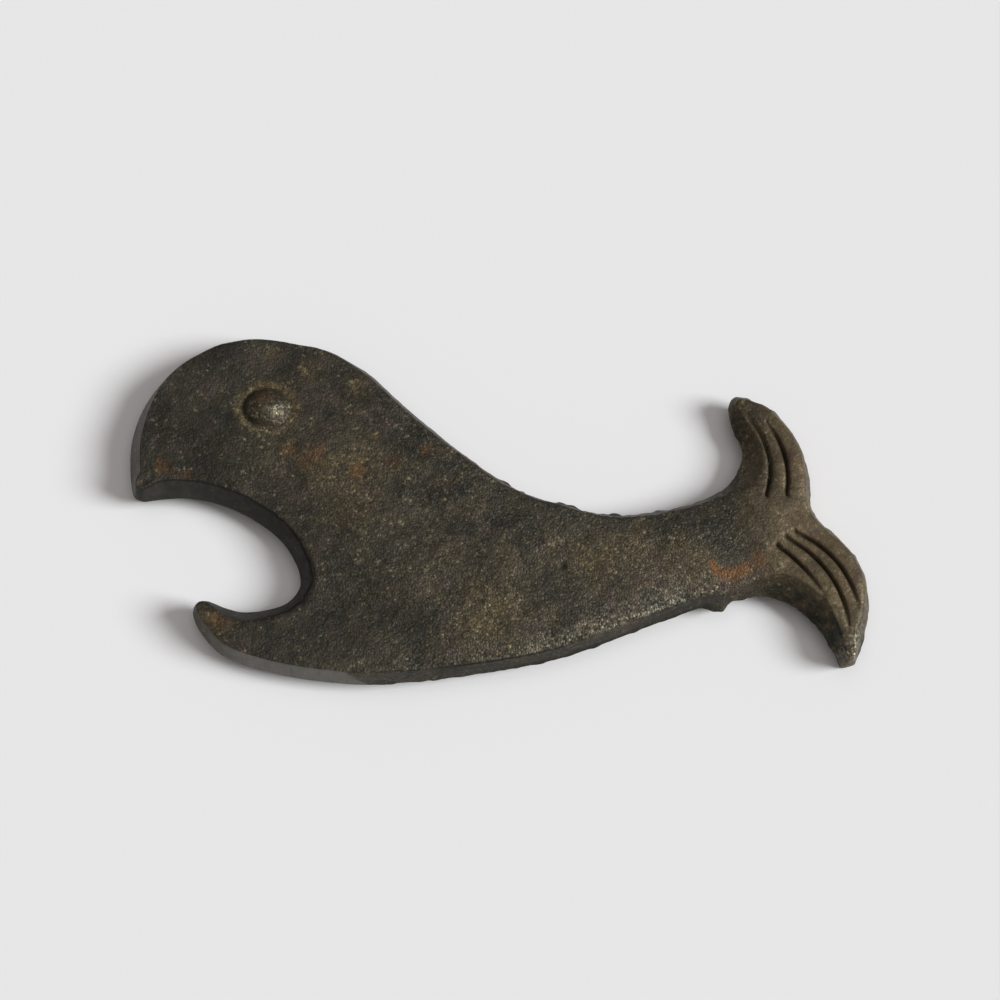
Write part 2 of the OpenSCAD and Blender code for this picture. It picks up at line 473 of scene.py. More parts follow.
def sand_marks(points):
    """Pits and raised specks, each a small bell."""
    marks = np.zeros(len(points))
    for pit_x, pit_y, radius, depth in PITS:
        marks -= bells(points, np.array([[pit_x, pit_y]]), np.array([depth]), radius)
    draw = np.random.default_rng(11)
    specks = draw.uniform(box_low[:2], box_high[:2], (SPECKS, 2))
    heights = draw.normal(0.0, 0.055, SPECKS) + 0.02
    return marks + bells(points, specks, heights, 0.42)


def face_relief(points):
    """Height above the flat face, in mm: waves that are calmer round the eye, then each feature."""
    skin = 0.09 * waves(points, 14, 1) + 0.035 * waves(points, 5, 2)
    skin += 0.014 * waves(points, 2.2, 3) + 0.014 * waves(points, 0.9, 4)
    calm = 1 - 0.7 * np.exp(-((np.linalg.norm(points - eye_centre, axis=1) / 4.5) ** 4))
    relief = skin * calm + slopes(points) + groove_marks(points)
    return relief + eye_height(points) + sand_marks(points)


# %% [markdown]
# ## The wall, from one face round to the other
#
# The wall is a profile carried along the outline. Going up from the parting line it has a
# straight leaning stretch, then a curve that starts and ends in the directions of the wall and
# the face (a parabola, whose three guide points are easy to place), then a little of the face.
# The lower half is the same profile upside down. Every row has the same number of points, so
# the whole wall is one grid.

# %% Rows of the profile
WALL_ROWS = np.array([0, 0.05, 0.12, 0.22, 0.36, 0.52, 0.68, 0.84, 1])     # shares of the wall
CORNER_ROWS = np.linspace(0, 1, 8)[1:]                                      # and of the curve
MARGIN = 0.35           # mm of flat face that belongs to the wall's grid


def half_profile():
    """Distance in from the outline and height above the parting line, by rows of the profile."""
    rise = FACE - PARTING
    slant = np.hypot(edge_width, rise)
    turn_in = edge_width * softness / slant
    turn_up = rise * softness / slant
    wall = WALL_ROWS[:, None]
    t = CORNER_ROWS[:, None]
    wall_in = wall * (edge_width - turn_in)
    wall_up = wall * (rise - turn_up)
    corner_in = (1 - t) ** 2 * (edge_width - turn_in) + 2 * t * (1 - t) * edge_width
    corner_in += t**2 * (edge_width + softness)
    corner_up = (1 - t) ** 2 * (rise - turn_up) + (2 * t * (1 - t) + t**2) * rise
    inset = np.vstack([wall_in, corner_in, edge_width + softness + MARGIN * ramp(inner_room, 1, 3)])
    height = np.vstack([wall_up, corner_up, np.full(count, rise)])
    return inset, height


inset, height = half_profile()
rows = len(inset)
print(f"{rows} rows of {count} points above the parting line, and as many below")

# %% [markdown]
# ## Flash, the cast gate and the rough wall
#
# Where the two halves of the mould met, a thin fin of iron squeezed out. It was knocked off by
# hand, so what is left comes and goes along the middle of the wall, and the ground strips have
# none. On the belly near the tail is the stub of the gate, where the iron was poured in and the
# runner was broken off afterwards.

# %% Flash and gate along the outline
FLASH_HEIGHT = 0.30     # mm above the parting line where the fin has fallen to 37 %
GATE = (101.0, 13.3)    # mm from the left and from the near side of the box
GATE_REACH = 3.5        # mm along the outline from the middle of the stub to its end
GATE_STUB = 1.4         # mm that the stub stands out
gate_point = np.array([box_low[0] + GATE[0], box_low[1] + GATE[1]])
nearest_gate = pair_squares(outline, gate_point[None]).argmin()
# Along the outline, the shorter way round
from_gate = np.abs((np.arange(count) - nearest_gate + count // 2) % count - count // 2) * STEP
far_back = ramp(facing_y, 0.6, 0.9) * ramp(x, -2, 3) * ramp(-x, -30, -24)
under_belly = ramp(-facing_y, 0.5, 0.9) * ramp(x, -24, -18) * ramp(-x, -44, -36)
flash = (1 - filed) * blur(0.05 + 0.32 * far_back + 0.11 * under_belly + 0.08 * flukes, 1.0)
print("The gate's stub is at", outline[nearest_gate].round(1), "mm")


# %% Push the wall in and out
def wall_push(places, level):
    """Outward push in mm for one row: the sand's unevenness less chips, plus fin and stub."""
    unevenness = 0.05 * waves(places, 6, 21) + 0.035 * waves(places, 2.4, 22)
    unevenness = unevenness + 0.02 * waves(places, 1, 23)
    calm = (1 - filed) * (1 - 0.8 * belly) * (0.3 + 0.7 * ramp(x, -20, 15))
    chips = mouth * np.clip(waves(outline, 1.8, 27) - 0.5, 0, 1) * ramp(level, 1.8, 3.2)
    rough = calm * unevenness - 0.4 * chips
    patches = np.clip(0.3 + 0.5 * waves(outline, 5, 24) + 0.3 * waves(outline, 2, 25), 0, 1.3)
    fin = flash * patches * np.exp(-((level / FLASH_HEIGHT) ** 2))
    stub_width = 0.5 + 0.5 * np.cos(np.pi * np.clip(from_gate / GATE_REACH, 0, 1))
    stub_level = ramp(level, -2.9, -2.2) * ramp(-level, -0.75, 0.15)
    stub = stub_width * stub_level * (GATE_STUB + 0.15 * waves(places, 2.2, 26))
    return rough + fin + stub


def wall_row(inward, level):
    """3-D places of one row of the wall, after the push."""
    flat = outline - outward * inward[:, None]
    places = np.column_stack([flat, PARTING + level])
    fades = ramp(-inward, -(edge_width + softness), -edge_width * 0.7)
    push = wall_push(places, level) * fades
    places[:, :2] += outward * push[:, None]
    return places


upper_wall = np.stack([wall_row(inset[k], height[k]) for k in range(rows)])
lower_wall = np.stack([wall_row(inset[k], -height[k]) for k in range(rows)])
fin_rows = upper_wall[0, :, :2] - outline
print("Flash stands out up to", round(float(np.abs(fin_rows).max()), 2), "mm")

# %% [markdown]
# ## Filling the two faces
#
# Inside the last row of the wall the face is filled with evenly spaced points, in the pattern
# of packed coins, and joined to the wall by a Delaunay triangulation, which picks the roundest
# triangles. A fill tool would make long slivers that shade badly once the surface is uneven.
# Each groove gets rows of its own points as well, because its sides are steep. Whether a point
# is inside the ring is found by counting how many edges a line to its right crosses.

# %% Points inside a ring
FACE_STEP = 0.31        # mm between points on the face
BACK_STEP = 0.5         # mm between points on the back
GROOVE_ROWS = np.linspace(-0.54, 0.54, 7)       # mm from a groove's centre line


def inside_ring(points, ring):
    """True where a level line from the point crosses the ring an odd number of times."""
    nxt = np.roll(ring, -1, axis=0)
    crossings = np.zeros(len(points), dtype=int)
    for start in range(0, len(points), BLOCK):
        px, py = points[start:start + BLOCK, :1], points[start:start + BLOCK, 1:]
        spans = (ring[:, 1] > py) != (nxt[:, 1] > py)
        rise = np.where(nxt[:, 1] == ring[:, 1], 1, nxt[:, 1] - ring[:, 1])
        meets = px < ring[:, 0] + (py - ring[:, 1]) * (nxt[:, 0] - ring[:, 0]) / rise
        crossings[start:start + BLOCK] = (spans & meets).sum(axis=1)
    return crossings % 2 == 1


def nearest_square(points, others):
    """Squared distance from each point to the nearest of the others."""
    return np.concatenate([pair_squares(points[start:start + BLOCK], others).min(axis=1)
                           for start in range(0, len(points), BLOCK)])


def packed_points(ring, spacing):
    """Points in staggered rows inside a ring, none nearer to it than 0.6 of the spacing."""
    low, high = ring.min(axis=0), ring.max(axis=0)
    row_gap = spacing * math.sqrt(3) / 2
    number_x, number_y = ((high - low) / (spacing, row_gap)).astype(int) + 1
    column, row = np.meshgrid(np.arange(number_x), np.arange(number_y))
    grid = np.column_stack([(low[0] + (column + row % 2 / 2) * spacing).ravel(),
                            (low[1] + row * row_gap).ravel()])
    grid = grid[inside_ring(grid, ring)]
    return grid[nearest_square(grid, ring) > (0.6 * spacing) ** 2]


def beside(line):
    """Rows of points along a groove, close enough together to carry its steep sides."""
    forward = np.gradient(line, axis=0)
    across = np.column_stack([-forward[:, 1], forward[:, 0]])
    across = across / np.linalg.norm(forward, axis=1)[:, None]
    return (line[:, None] + GROOVE_ROWS[None, :, None] * across[:, None]).reshape(-1, 2)


# %% Fill the face and the back
def fill(ring, spacing, detail):
    """The new inner points, and anticlockwise triangles that count the ring's points first."""
    inner = packed_points(ring, spacing)
    if len(detail):
        detail = detail[inside_ring(detail, ring)]
        detail = detail[nearest_square(detail, ring) > (0.5 * spacing) ** 2]
        inner = np.vstack([inner[nearest_square(inner, detail) > (0.6 * spacing) ** 2], detail])
    plan = np.vstack([ring, inner])
    edges = [(k, (k + 1) % len(ring)) for k in range(len(ring))]
    result = delaunay_2d_cdt([Vector(p) for p in plan], edges, [], 1, 1e-6)
    source = np.array([origins[0] for origins in result[3]])
    triangles = source[np.array(result[2])]
    a, b, c = (plan[triangles[:, k]] for k in range(3))
    area = (b - a)[:, 0] * (c - a)[:, 1] - (b - a)[:, 1] * (c - a)[:, 0]
    triangles[area < 0] = triangles[area < 0][:, ::-1]
    return inner, triangles


groove_points = np.vstack([beside(line) for line in grooves])
top_inner, top_triangles = fill(upper_wall[-1, :, :2], FACE_STEP, groove_points)
back_inner, back_triangles = fill(lower_wall[-1, :, :2], BACK_STEP, [])
print(len(top_triangles), "triangles on the face,", len(back_triangles), "on the back")

# %% [markdown]
# ## Giving the faces their height
#
# The face's height is added to every point of the upper half, in full on the face and less and
# less down the wall, so that nothing tears where the two meet. The back is plain. It only has
# the sand's unevenness, and that goes into the iron, so the casting still rests on the plane
# that it was designed to rest on.

# %% Heights
def raised(places):
    """Upper points with the face's relief: in full at the face and none at the parting line."""
    share = ramp(places[:, 2], PARTING, FACE)
    lifted = places.copy()
    lifted[:, 2] += share * face_relief(places[:, :2])
    return lifted


def sunk(places):
    """Lower points with the back's unevenness, always upwards into the casting."""
    skin = 0.06 * waves(places[:, :2], 11, 31) + 0.035 * waves(places[:, :2], 3, 32)
    skin += 0.025 * waves(places[:, :2], 1.3, 33)
    share = ramp(-places[:, 2], -PARTING, 0)
    lifted = places.copy()
    lifted[:, 2] += share * np.clip(skin + 0.12, 0, None)
    return lifted


top_flat = np.column_stack([top_inner, np.full(len(top_inner), FACE)])
back_flat = np.column_stack([back_inner, np.zeros(len(back_inner))])
upper_points = raised(np.vstack([upper_wall.reshape(-1, 3), top_flat]))
lower_points = sunk(np.vstack([lower_wall[1:].reshape(-1, 3), back_flat]))
points = np.clip(np.vstack([upper_points, lower_points]), box_low, box_high)
print(f"{len(points)} points, of which {len(upper_points)} are in the upper half")

# %% [markdown]
# ## One mesh
#
# All points are in one long list: the rows of the upper wall, the inner points of the face,
# the rows of the lower wall, and the inner points of the back. The row on the parting line is
# shared by both halves, which closes the casting. Each face lists its corners anticlockwise as
# seen from outside, so it points outwards.

# %% Faces of the wall and the two flat sides
def strip_faces(first_row, second_row):
    """Four-cornered faces between two rows of point numbers that both run round the outline."""
    return np.column_stack([first_row, np.roll(first_row, -1), np.roll(second_row, -1), second_row])


around = np.arange(count)
upper_rows = around + count * np.arange(rows)[:, None]
lower_start = len(upper_points)
lower_rows = np.vstack([around, around + lower_start + count * np.arange(rows - 1)[:, None]])
quads = np.vstack([strip_faces(upper_rows[k], upper_rows[k + 1]) for k in range(rows - 1)]
                  + [strip_faces(lower_rows[k + 1], lower_rows[k]) for k in range(rows - 1)])


def numbered(triangles, ring_row, first_inner):
    """Turn the fill's own numbering into the mesh's: ring points first, then the inner points."""
    return np.where(triangles < count, ring_row[triangles % count], triangles - count + first_inner)


top_faces = numbered(top_triangles, upper_rows[-1], count * rows)
back_faces = numbered(back_triangles, lower_rows[-1], lower_start + count * (rows - 1))[:, ::-1]

# %% Build the mesh
whale_mesh = bpy.data.meshes.new("whale_iron")
faces = quads.tolist() + top_faces.tolist() + back_faces.tolist()
whale_mesh.from_pydata((points * MM).tolist(), [], faces)
whale_mesh.shade_smooth()
whale_mesh.validate()
whale = bpy.data.objects.new("whale_iron", whale_mesh)
bpy.context.scene.collection.objects.link(whale)
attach(whale, "root")
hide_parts(NODE)
print(len(quads) * 2 + len(top_faces) + len(back_faces), "triangles in the casting")

# %% [markdown]
# ## Where the iron is ground, worn, dirty or rusty
#
# The finish changes from place to place, and most of that follows the shape: bare metal on the
# ground strips, rubbed metal with painted highlights on the belly's edge, the eye and the lower
# fluke's tip, dark dirt in the grooves and the pits, and painted shade in the mouth.
# Painting these by hand would take a texture. They are worked out for every point instead and
# stored in the mesh as named attributes, which the material reads.

# %% Ground strips and the inside of the mouth
WALL_END = len(WALL_ROWS) + 2       # the wall's rows and the first two of the curve
upward = ramp(points[:, 2], PARTING, FACE - 0.5)
flat_places = points[:, :2]


def store(name, values):
    """Keep one number from 0 to 1 for every point of the casting."""
    attribute = whale_mesh.attributes.new(name, "FLOAT", "POINT")
    attribute.data.foreach_set("value", np.clip(values, 0, 1).astype(np.float32))


def on_wall(values):
    """Spread one row of values, or one for each row, over both walls up to where they turn."""
    spread = np.zeros(len(points))
    values = np.broadcast_to(values, (WALL_END, count))
    spread[upper_rows[:WALL_END]] = values
    spread[lower_rows[1:WALL_END]] = values[1:]
    return spread


store("ground", on_wall(ground_strips(height[:WALL_END])))
# Painted shade: this mask darkens the mouth's walls, which face away from the window, together with
# an oily film there. The belly's wall gets a darker, smoother film from it too.
store("mouth", on_wall(np.maximum(mouth, 0.6 * belly)))
print("The ground strips cover", round(float(on_wall(ground).sum())), "points")

# %% Places that hands and claws have rubbed, with painted highlights where they turn to the light
# Painted highlights: the lower fluke's tip and the eye's lower right turn towards the window and
# are made bright, on metal that is rubbed there too.
# Place along X and Y in mm, reach in mm, and strength
RUBBED_AND_HIGHLIGHTS = np.array([
    [59.6, -25.8, 1.6, 1.5],
    [61.0, -23.2, 1.6, 1.3],
    [62.4, -20.7, 1.1, 0.8],
    [eye_centre[0] + 1.9, eye_centre[1] - 1.1, 1.6, 0.9],
    [47.0, 5.3, 0.3, 0.8],
    [38.5, -15.2, 0.35, 1.0],
    [46.0, -13.6, 0.35, 0.8],
])


def spots(table):
    """A mask with a bell at each row's place, with the row's reach and strength."""
    total = np.zeros(len(points))
    for spot_x, spot_y, reach, strength in table:
        total += bells(flat_places, np.array([[spot_x, spot_y]]), np.array([strength]), reach)
    return total


# Painted highlight along the belly: bright lines just inside its edge, where the rounded edge turns
# towards the window, on metal that fingers rub.
handled_and_highlit = belly * ramp(x, -14, 14)
edge_line = outline - outward * (edge_width + softness + 0.3)[:, None]
wear_and_highlight = soft_line(flat_places, edge_line, 0.6 * handled_and_highlit, 0.5)
wear_and_highlight += soft_line(flat_places, edge_line - outward * 1.2, 0.3 * handled_and_highlit, 1.8)
wear_and_highlight = wear_and_highlight * upward + spots(RUBBED_AND_HIGHLIGHTS) * ramp(points[:, 2], PARTING, PARTING + 2)
# The eye's lip gets a painted highlight where its slope faces the light.
wear_and_highlight += 0.5 * eye_lip(flat_places) * upward
store("wear_and_highlight", wear_and_highlight)
print("Worn places:", int((wear_and_highlight > 0.3).sum()), "points")

# %% Dark lines along the wall's upper edge and by the parting line, painted shade at the mouth's edge, dirt in the grooves and pits
upper_edge = upper_rows[len(WALL_ROWS) - 1:WALL_END]
by_the_parting = upper_rows[:4]
# Along the wall's upper edge: painted shade at the mouth's edge, and a dark line on the belly and
# the ground strip under the jaw. By the parting line, a dark band on the belly.
crest = np.zeros(len(points))
crest[upper_edge] = 0.8 * belly * ramp(-x, -22, -4) + 0.65 * mouth + 0.3 * ground * ramp(-y, 10, 12)
crest[by_the_parting] = 0.55 * belly * ramp(x, -5, 5)
dirt_and_painted_shade = np.zeros(len(points))
for line in grooves:
    dirt_and_painted_shade += soft_line(flat_places, line, 0.95 * groove_strength(line), 0.25)
dirt_and_painted_shade += spots(PITS * (1, 1, 0.8, 2.0))
store("dirt_and_painted_shade", np.maximum(dirt_and_painted_shade * upward, crest))
print("Dirty places:", int((np.maximum(dirt_and_painted_shade * upward, crest) > 0.3).sum()), "points")

# %% [markdown]
# ## Rust and the colour of the film
#
# Rust blooms, sooty patches and yellowed patches don't follow the shape: they are where damp,
# smoke or grease happened to be. Each is a soft spot with its place along X and Y, its reach
# and its strength, and the material breaks the spots up into grains. The dark mask also holds
# painted shade along the mouth's edge and inside the lower fluke, on walls that face away from
# the window. The film is made lighter and yellow-brown round the eye and inside the upper fluke.

# %% Rust blooms
RUST = np.array([
    [-36.3, 9.3, 1.5, 0.65],
    [-31.2, 9.1, 2.4, 0.62],
    [-33.5, 6.8, 1.8, 0.45],
    [-24.3, 5.8, 2.0, 0.78],
    [-18.5, 7.0, 3.0, 0.48],
    [-57.5, 6.2, 2.4, 0.55],
    [-53.0, 4.6, 2.0, 0.45],
    [-41.0, 18.4, 2.2, 0.55],
    [-12.6, 9.5, 1.6, 0.65],
    [36.2, -10.4, 1.0, 1.0],
    [37.2, -12.0, 1.2, 1.0],
    [39.5, -12.4, 1.4, 1.1],
    [41.8, -11.4, 1.5, 0.9],
    [44.4, -9.6, 1.7, 0.8],
    [-47.0, -20.5, 3.5, 0.50],
    [50.5, -8.2, 1.2, 0.45],
    [53.5, -8.0, 0.9, 0.5],
    [51.5, 8.0, 2.5, 0.42],
])
store("rust", spots(RUST) * upward)
print(len(RUST), "rust blooms")

# %% Where the film has stayed dark, and painted shade by the mouth and inside the lower fluke
SOOTY = np.array([
    [38.5, -2.6, 5.5, 0.75],
    [30.0, -3.5, 4.0, 0.45],
    [-26.0, -17.0, 6.0, 0.60],
    [-17.0, -21.0, 5.0, 0.55],
    [-34.0, -11.0, 3.5, 0.4],
    [-14.0, -20.0, 3.0, 0.5],
    [-56.0, 14.0, 7.0, 0.5],
    [-44.0, 8.0, 6.0, 0.4],
])
# Painted shade: the lines along the mouth's edge and inside the lower fluke darken walls that face
# away from the window. The spots above are dark film.
sooty_and_painted_shade = spots(SOOTY) * upward + soft_line(flat_places, outline, 1.6 * mouth, 1.3) * upward
sooty_and_painted_shade += soft_line(flat_places, outline, 2.4 * lower_inside * ramp(y, -27, -24), 2.2)
store("sooty_and_painted_shade", sooty_and_painted_shade)
print(len(SOOTY), "sooty patches")

# %% Where it has gone yellow-brown
YELLOWED = np.array([
    [-39.5, 27.0, 1.0, 0.8],
    [-33.0, 23.6, 2.0, 0.7],
    [-24.4, 21.0, 1.6, 0.8],
    [-21.2, 12.0, 0.9, 0.8],
    [-36.0, 9.8, 1.4, 0.8],
    [-30.6, 6.7, 3.0, 0.6],
    [-40.0, 8.0, 3.5, 0.4],
    [-24.0, 8.0, 4.5, 0.45],
    [-24.0, -1.0, 8.0, 0.35],
    [eye_centre[0], eye_centre[1], 3.0, 0.5],
    [58.0, -15.0, 4.0, 0.45],
    [16.0, -10.5, 4.0, 0.65],
    [24.0, -9.0, 4.0, 0.45],
    [-2.0, -19.5, 5.5, 0.75],
    [-48.0, -21.5, 4.0, 0.5],
    [32.0, -9.0, 4.0, 0.42],
    [47.5, -12.0, 3.0, 0.4],
])
round_rim = np.exp(-(((round_the_eye(flat_places)[0] - 1.22) / 0.20) ** 2))
# Inside the upper fluke, which faces away from the window, the film is made lighter and
# yellow-brown.
yellowed = spots(YELLOWED) + round_rim + soft_line(flat_places, outline, 0.7 * upper_inside, 2.5)
store("yellowed", yellowed * upward)
print("Masks stored:", [a.name for a in whale_mesh.attributes if a.data_type == "FLOAT"])

# %% [markdown]
# ## Old seasoned cast iron
#
# The iron is dark, with an oily olive-brown film that has built up over years of handling. It
# is neither a clean metal nor a paint, so Metallic stays near the middle, lower inside the
# mouth and higher where the film is rubbed off. The colour is mixed from patterns of several
# sizes, from the broad drift between head and tail down to brassy grains less than half a
# millimetre across. All patterns are read in Object coordinates, turned into millimetres by a
# Mapping node. An image would have to be very large to show such fine grains everywhere.
#
# First comes the film by itself: olive and browner towards the tail, with plum, yellow-brown
# and sooty patches, and painted shade by the mouth and inside the lower fluke. It is also made
# lighter towards the tail: that is painted light, as if the window's light fell off towards the
# head.

# %% Small helpers for nodes
iron = bpy.data.materials.new("seasoned_cast_iron")
iron.use_nodes = True
tree = iron.node_tree
shader = tree.nodes["Principled BSDF"]


def add(kind, inputs=None, **settings):
    """A new node with its settings and its input values or links."""
    node = tree.nodes.new(kind)
    for name, value in settings.items():
        setattr(node, name, value)
    for key, value in (inputs or {}).items():
        if isinstance(value, bpy.types.NodeSocket):
            tree.links.new(value, node.inputs[key])
        else:
            node.inputs[key].default_value = value
    return node


coordinates = add("ShaderNodeTexCoord").outputs["Object"]
to_millimetres = add("ShaderNodeMapping", {"Vector": coordinates, "Scale": (1 / MM,) * 3})
millimetres = to_millimetres.outputs["Vector"]


def pattern(size, detail=3.0, roughness=0.55):
    """Cloudy noise whose patches are about `size` mm across, from 0 to 1."""
    return add("ShaderNodeTexNoise", {"Vector": millimetres, "Scale": 1 / size, "Detail": detail,
                                      "Roughness": roughness}).outputs["Fac"]


def stretch(value, low, high, to_low=0.0, to_high=1.0):
    """Stretch the part of a value from low to high over the new range, and cut off the rest."""
    return add("ShaderNodeMapRange", {"Value": value, "From Min": low, "From Max": high,
                                      "To Min": to_low, "To Max": to_high}).outputs["Result"]


def times(first, second):
    """The product of two values."""
    return add("ShaderNodeMath", {0: first, 1: second}, operation="MULTIPLY").outputs[0]


def plus(first, second):
    """The sum of two values."""
    return add("ShaderNodeMath", {0: first, 1: second}, operation="ADD").outputs[0]


def blend_colour(amount, under, over):
    """The colour `over` laid on the colour `under` by the amount."""
    return add("ShaderNodeMix", {0: amount, 6: under, 7: over}, data_type="RGBA").outputs[2]


def mask(name):
    """A mask that was stored on the mesh."""
    return add("ShaderNodeAttribute", attribute_name=name).outputs["Fac"]


def speckled(colour, contrast, value):
    """The colour made lighter and darker by a value from 0 to 1, about its middle."""
    factor = plus(times(plus(value, -0.5), contrast), 1.0)
    grey = add("ShaderNodeCombineColor", {0: factor, 1: factor, 2: factor}).outputs[0]
    mixed = add("ShaderNodeMix", {0: 1.0, 6: colour, 7: grey}, data_type="RGBA",
                blend_type="MULTIPLY")
    return mixed.outputs[2]


# %% Colour of the film
OLIVE_DARK = (0.0240, 0.0230, 0.0190, 1)
OLIVE = (0.0480, 0.0430, 0.0310, 1)
UMBER = (0.1000, 0.0760, 0.0440, 1)
YELLOW_BROWN = (0.1000, 0.0720, 0.0320, 1)
DARK_FILM_AND_SHADE = (0.0230, 0.0228, 0.0160, 1)
BRASS_AND_GLINT = (0.2900, 0.2550, 0.1450, 1)
PLUM = (0.0560, 0.0370, 0.0380, 1)

lengthways = add("ShaderNodeSeparateXYZ", {"Vector": millimetres}).outputs["X"]
towards_tail = stretch(lengthways, -42.0, 52.0)
flukes_only = stretch(lengthways, 40.0, 50.0)
# Painted light: the film is made lighter towards the tail, as if the window's light fell off
# towards the head. The cloudy pattern in it is random tone.
tone_and_painted_falloff = plus(stretch(pattern(8, 4), 0.35, 0.65), stretch(towards_tail, 0, 1, -0.15, 0.21))
film = blend_colour(tone_and_painted_falloff, OLIVE_DARK, OLIVE)
brown = plus(times(stretch(pattern(5, 4), 0.40, 0.68), stretch(towards_tail, 0, 1, 0.15, 0.7)),
             times(flukes_only, 0.75))
film = blend_colour(brown, film, UMBER)
film = blend_colour(times(stretch(pattern(4, 4), 0.56, 0.70), 0.6), film, PLUM)
yellow_here = times(mask("yellowed"), stretch(pattern(1.2, 4, 0.7), 0.35, 0.62))
film = blend_colour(yellow_here, film, YELLOW_BROWN)
# Dark patches of film, and painted shade along the mouth's edge and inside the lower fluke.
film = blend_colour(times(mask("sooty_and_painted_shade"), stretch(pattern(2.5, 3), 0.25, 0.55)), film, DARK_FILM_AND_SHADE)
print(len(tree.nodes), "nodes in the film")

# %% [markdown]
# ## Sand grains
#
# Each grain of the mould left a dimple or a bump that holds more or less of the film, so the
# grains differ in shade. A Voronoi pattern gives every cell one random colour, which noise
# can't do. A few cells are brassy flecks, and others are painted glints: bright specks that
# stand for light sparkling on the sand. The head and the flukes are calmer.

# %% Sand grains in the film
GRAIN = 0.42            # mm across one grain
FINE_GRAIN = 0.30

grain_cells = add("ShaderNodeTexVoronoi", {"Vector": millimetres, "Scale": 1 / GRAIN})
grain_colour = add("ShaderNodeSeparateColor", {"Color": grain_cells.outputs["Color"]})
grain_shade = grain_colour.outputs["Red"]
fine_cells = add("ShaderNodeTexVoronoi", {"Vector": millimetres, "Scale": 1 / FINE_GRAIN})
fine_colour = add("ShaderNodeSeparateColor", {"Color": fine_cells.outputs["Color"]})
fine_shade = fine_colour.outputs["Green"]
calm_flukes = stretch(flukes_only, 0, 1, 1.0, 0.45)
calm_head = stretch(towards_tail, 0, 0.35, 0.55, 1.0)
calmer = times(calm_flukes, calm_head)
film = speckled(film, times(calmer, 0.6), grain_shade)
film = speckled(film, times(calmer, 1.3), pattern(0.24, 1))
film = speckled(film, 1.1, pattern(1.3, 4))
gathered = plus(stretch(pattern(2.6, 4), 0.48, 0.68, 0.03, 0.8), times(yellow_here, 0.9))
flecks = times(stretch(grain_shade, 0.86, 0.99), gathered)
flecks = plus(flecks, times(stretch(fine_shade, 0.62, 0.85), times(yellow_here, 0.36)))
glint_strength = times(calmer, stretch(towards_tail, 0, 0.5, 0.14, 0.30))
glints = times(stretch(fine_shade, 0.90, 0.98), glint_strength)
# Brassy flecks, and painted glints: fine bright cells that stand for light sparkling on the sand
# grains.
film = blend_colour(plus(times(flecks, 0.7), times(glints, 0.8)), film, BRASS_AND_GLINT)
print("Grains of", GRAIN, "and", FINE_GRAIN, "mm")

# %% [markdown]
# ## What lies over the film
#
# The order is that of the real casting's life: rust grows through the film, oil and dirt
# settle on it, and grinding and rubbing take it all off again. So each colour is laid on in
# that order, by its mask times a fine pattern that breaks up the mask's soft edge. The oil and
# dirt layers also carry painted shade in the mouth, and the rubbed layer carries painted
# highlights.

# %% Rust, dirt and bare metal
RUST_RED = (0.1560, 0.0660, 0.0200, 1)
SOOT_AND_SHADE = (0.0070, 0.0060, 0.0045, 1)
OIL_AND_SHADE = (0.0300, 0.0290, 0.0255, 1)
BARE = (0.1400, 0.1330, 0.1170, 1)
RUBBED_METAL_AND_HIGHLIGHT = (0.3000, 0.2750, 0.2000, 1)

rust_here = times(stretch(plus(mask("rust"), pattern(1.2, 5, 0.7)), 0.80, 1.55),
                  stretch(pattern(0.5, 4, 0.65), 0.36, 0.60, 0.28, 1.0))
stray_rust = times(stretch(pattern(2.6, 4), 0.64, 0.76),
                   times(stretch(pattern(0.6, 3), 0.4, 0.6), 0.35))
film = blend_colour(plus(rust_here, stray_rust), film, RUST_RED)
# Painted shade in the mouth, whose walls face away from the light, laid on with its oily film.
mouth_oil_and_shade = mask("mouth")
film = blend_colour(times(mouth_oil_and_shade, 0.8), film, OIL_AND_SHADE)
film = speckled(film, times(mouth_oil_and_shade, 1.6), pattern(1.6, 5, 0.7))
# Dirt in the grooves and the pits, dark lines along the wall's edges, and painted shade along the
# mouth's edge.
dirt_and_shade_here = mask("dirt_and_painted_shade")
film = blend_colour(stretch(dirt_and_shade_here, 0.3, 0.8, 0.0, 0.92), film, SOOT_AND_SHADE)
drawn_out = add("ShaderNodeMapping", {"Vector": millimetres, "Scale": (1.6, 0.2, 0.2)})
brushed = add("ShaderNodeTexNoise", {"Vector": drawn_out.outputs["Vector"], "Scale": 1.0,
                                     "Detail": 3.0}).outputs["Fac"]
ground_here = times(mask("ground"), times(stretch(pattern(1.6, 4), 0.30, 0.45, 0.7, 1.0),
                                          stretch(brushed, 0.3, 0.6, 0.7, 1.0)))
film = blend_colour(ground_here, film, BARE)
# Painted highlights on the belly's edge, the eye and the lower fluke's tip, laid on with the rubbed
# metal there.
wear_and_highlight_here = times(mask("wear_and_highlight"), stretch(grain_shade, 0.35, 0.9))
film = blend_colour(times(wear_and_highlight_here, 0.7), film, RUBBED_METAL_AND_HIGHLIGHT)
tree.links.new(film, shader.inputs["Base Color"])
print(len(tree.nodes), "nodes up to the colour")

# %% [markdown]
# ## Sheen and texture
#
# The mesh holds what is larger than its triangles. The finer sand texture is a bump: domed
# grains and two noises, flatter on the ground strips and in the mouth. Rubbed places shine a
# little more, and dirt is dull.

# %% Sheen and sand texture
RELIEF = 0.11           # mm of height for each 1.0 of the sand's pattern

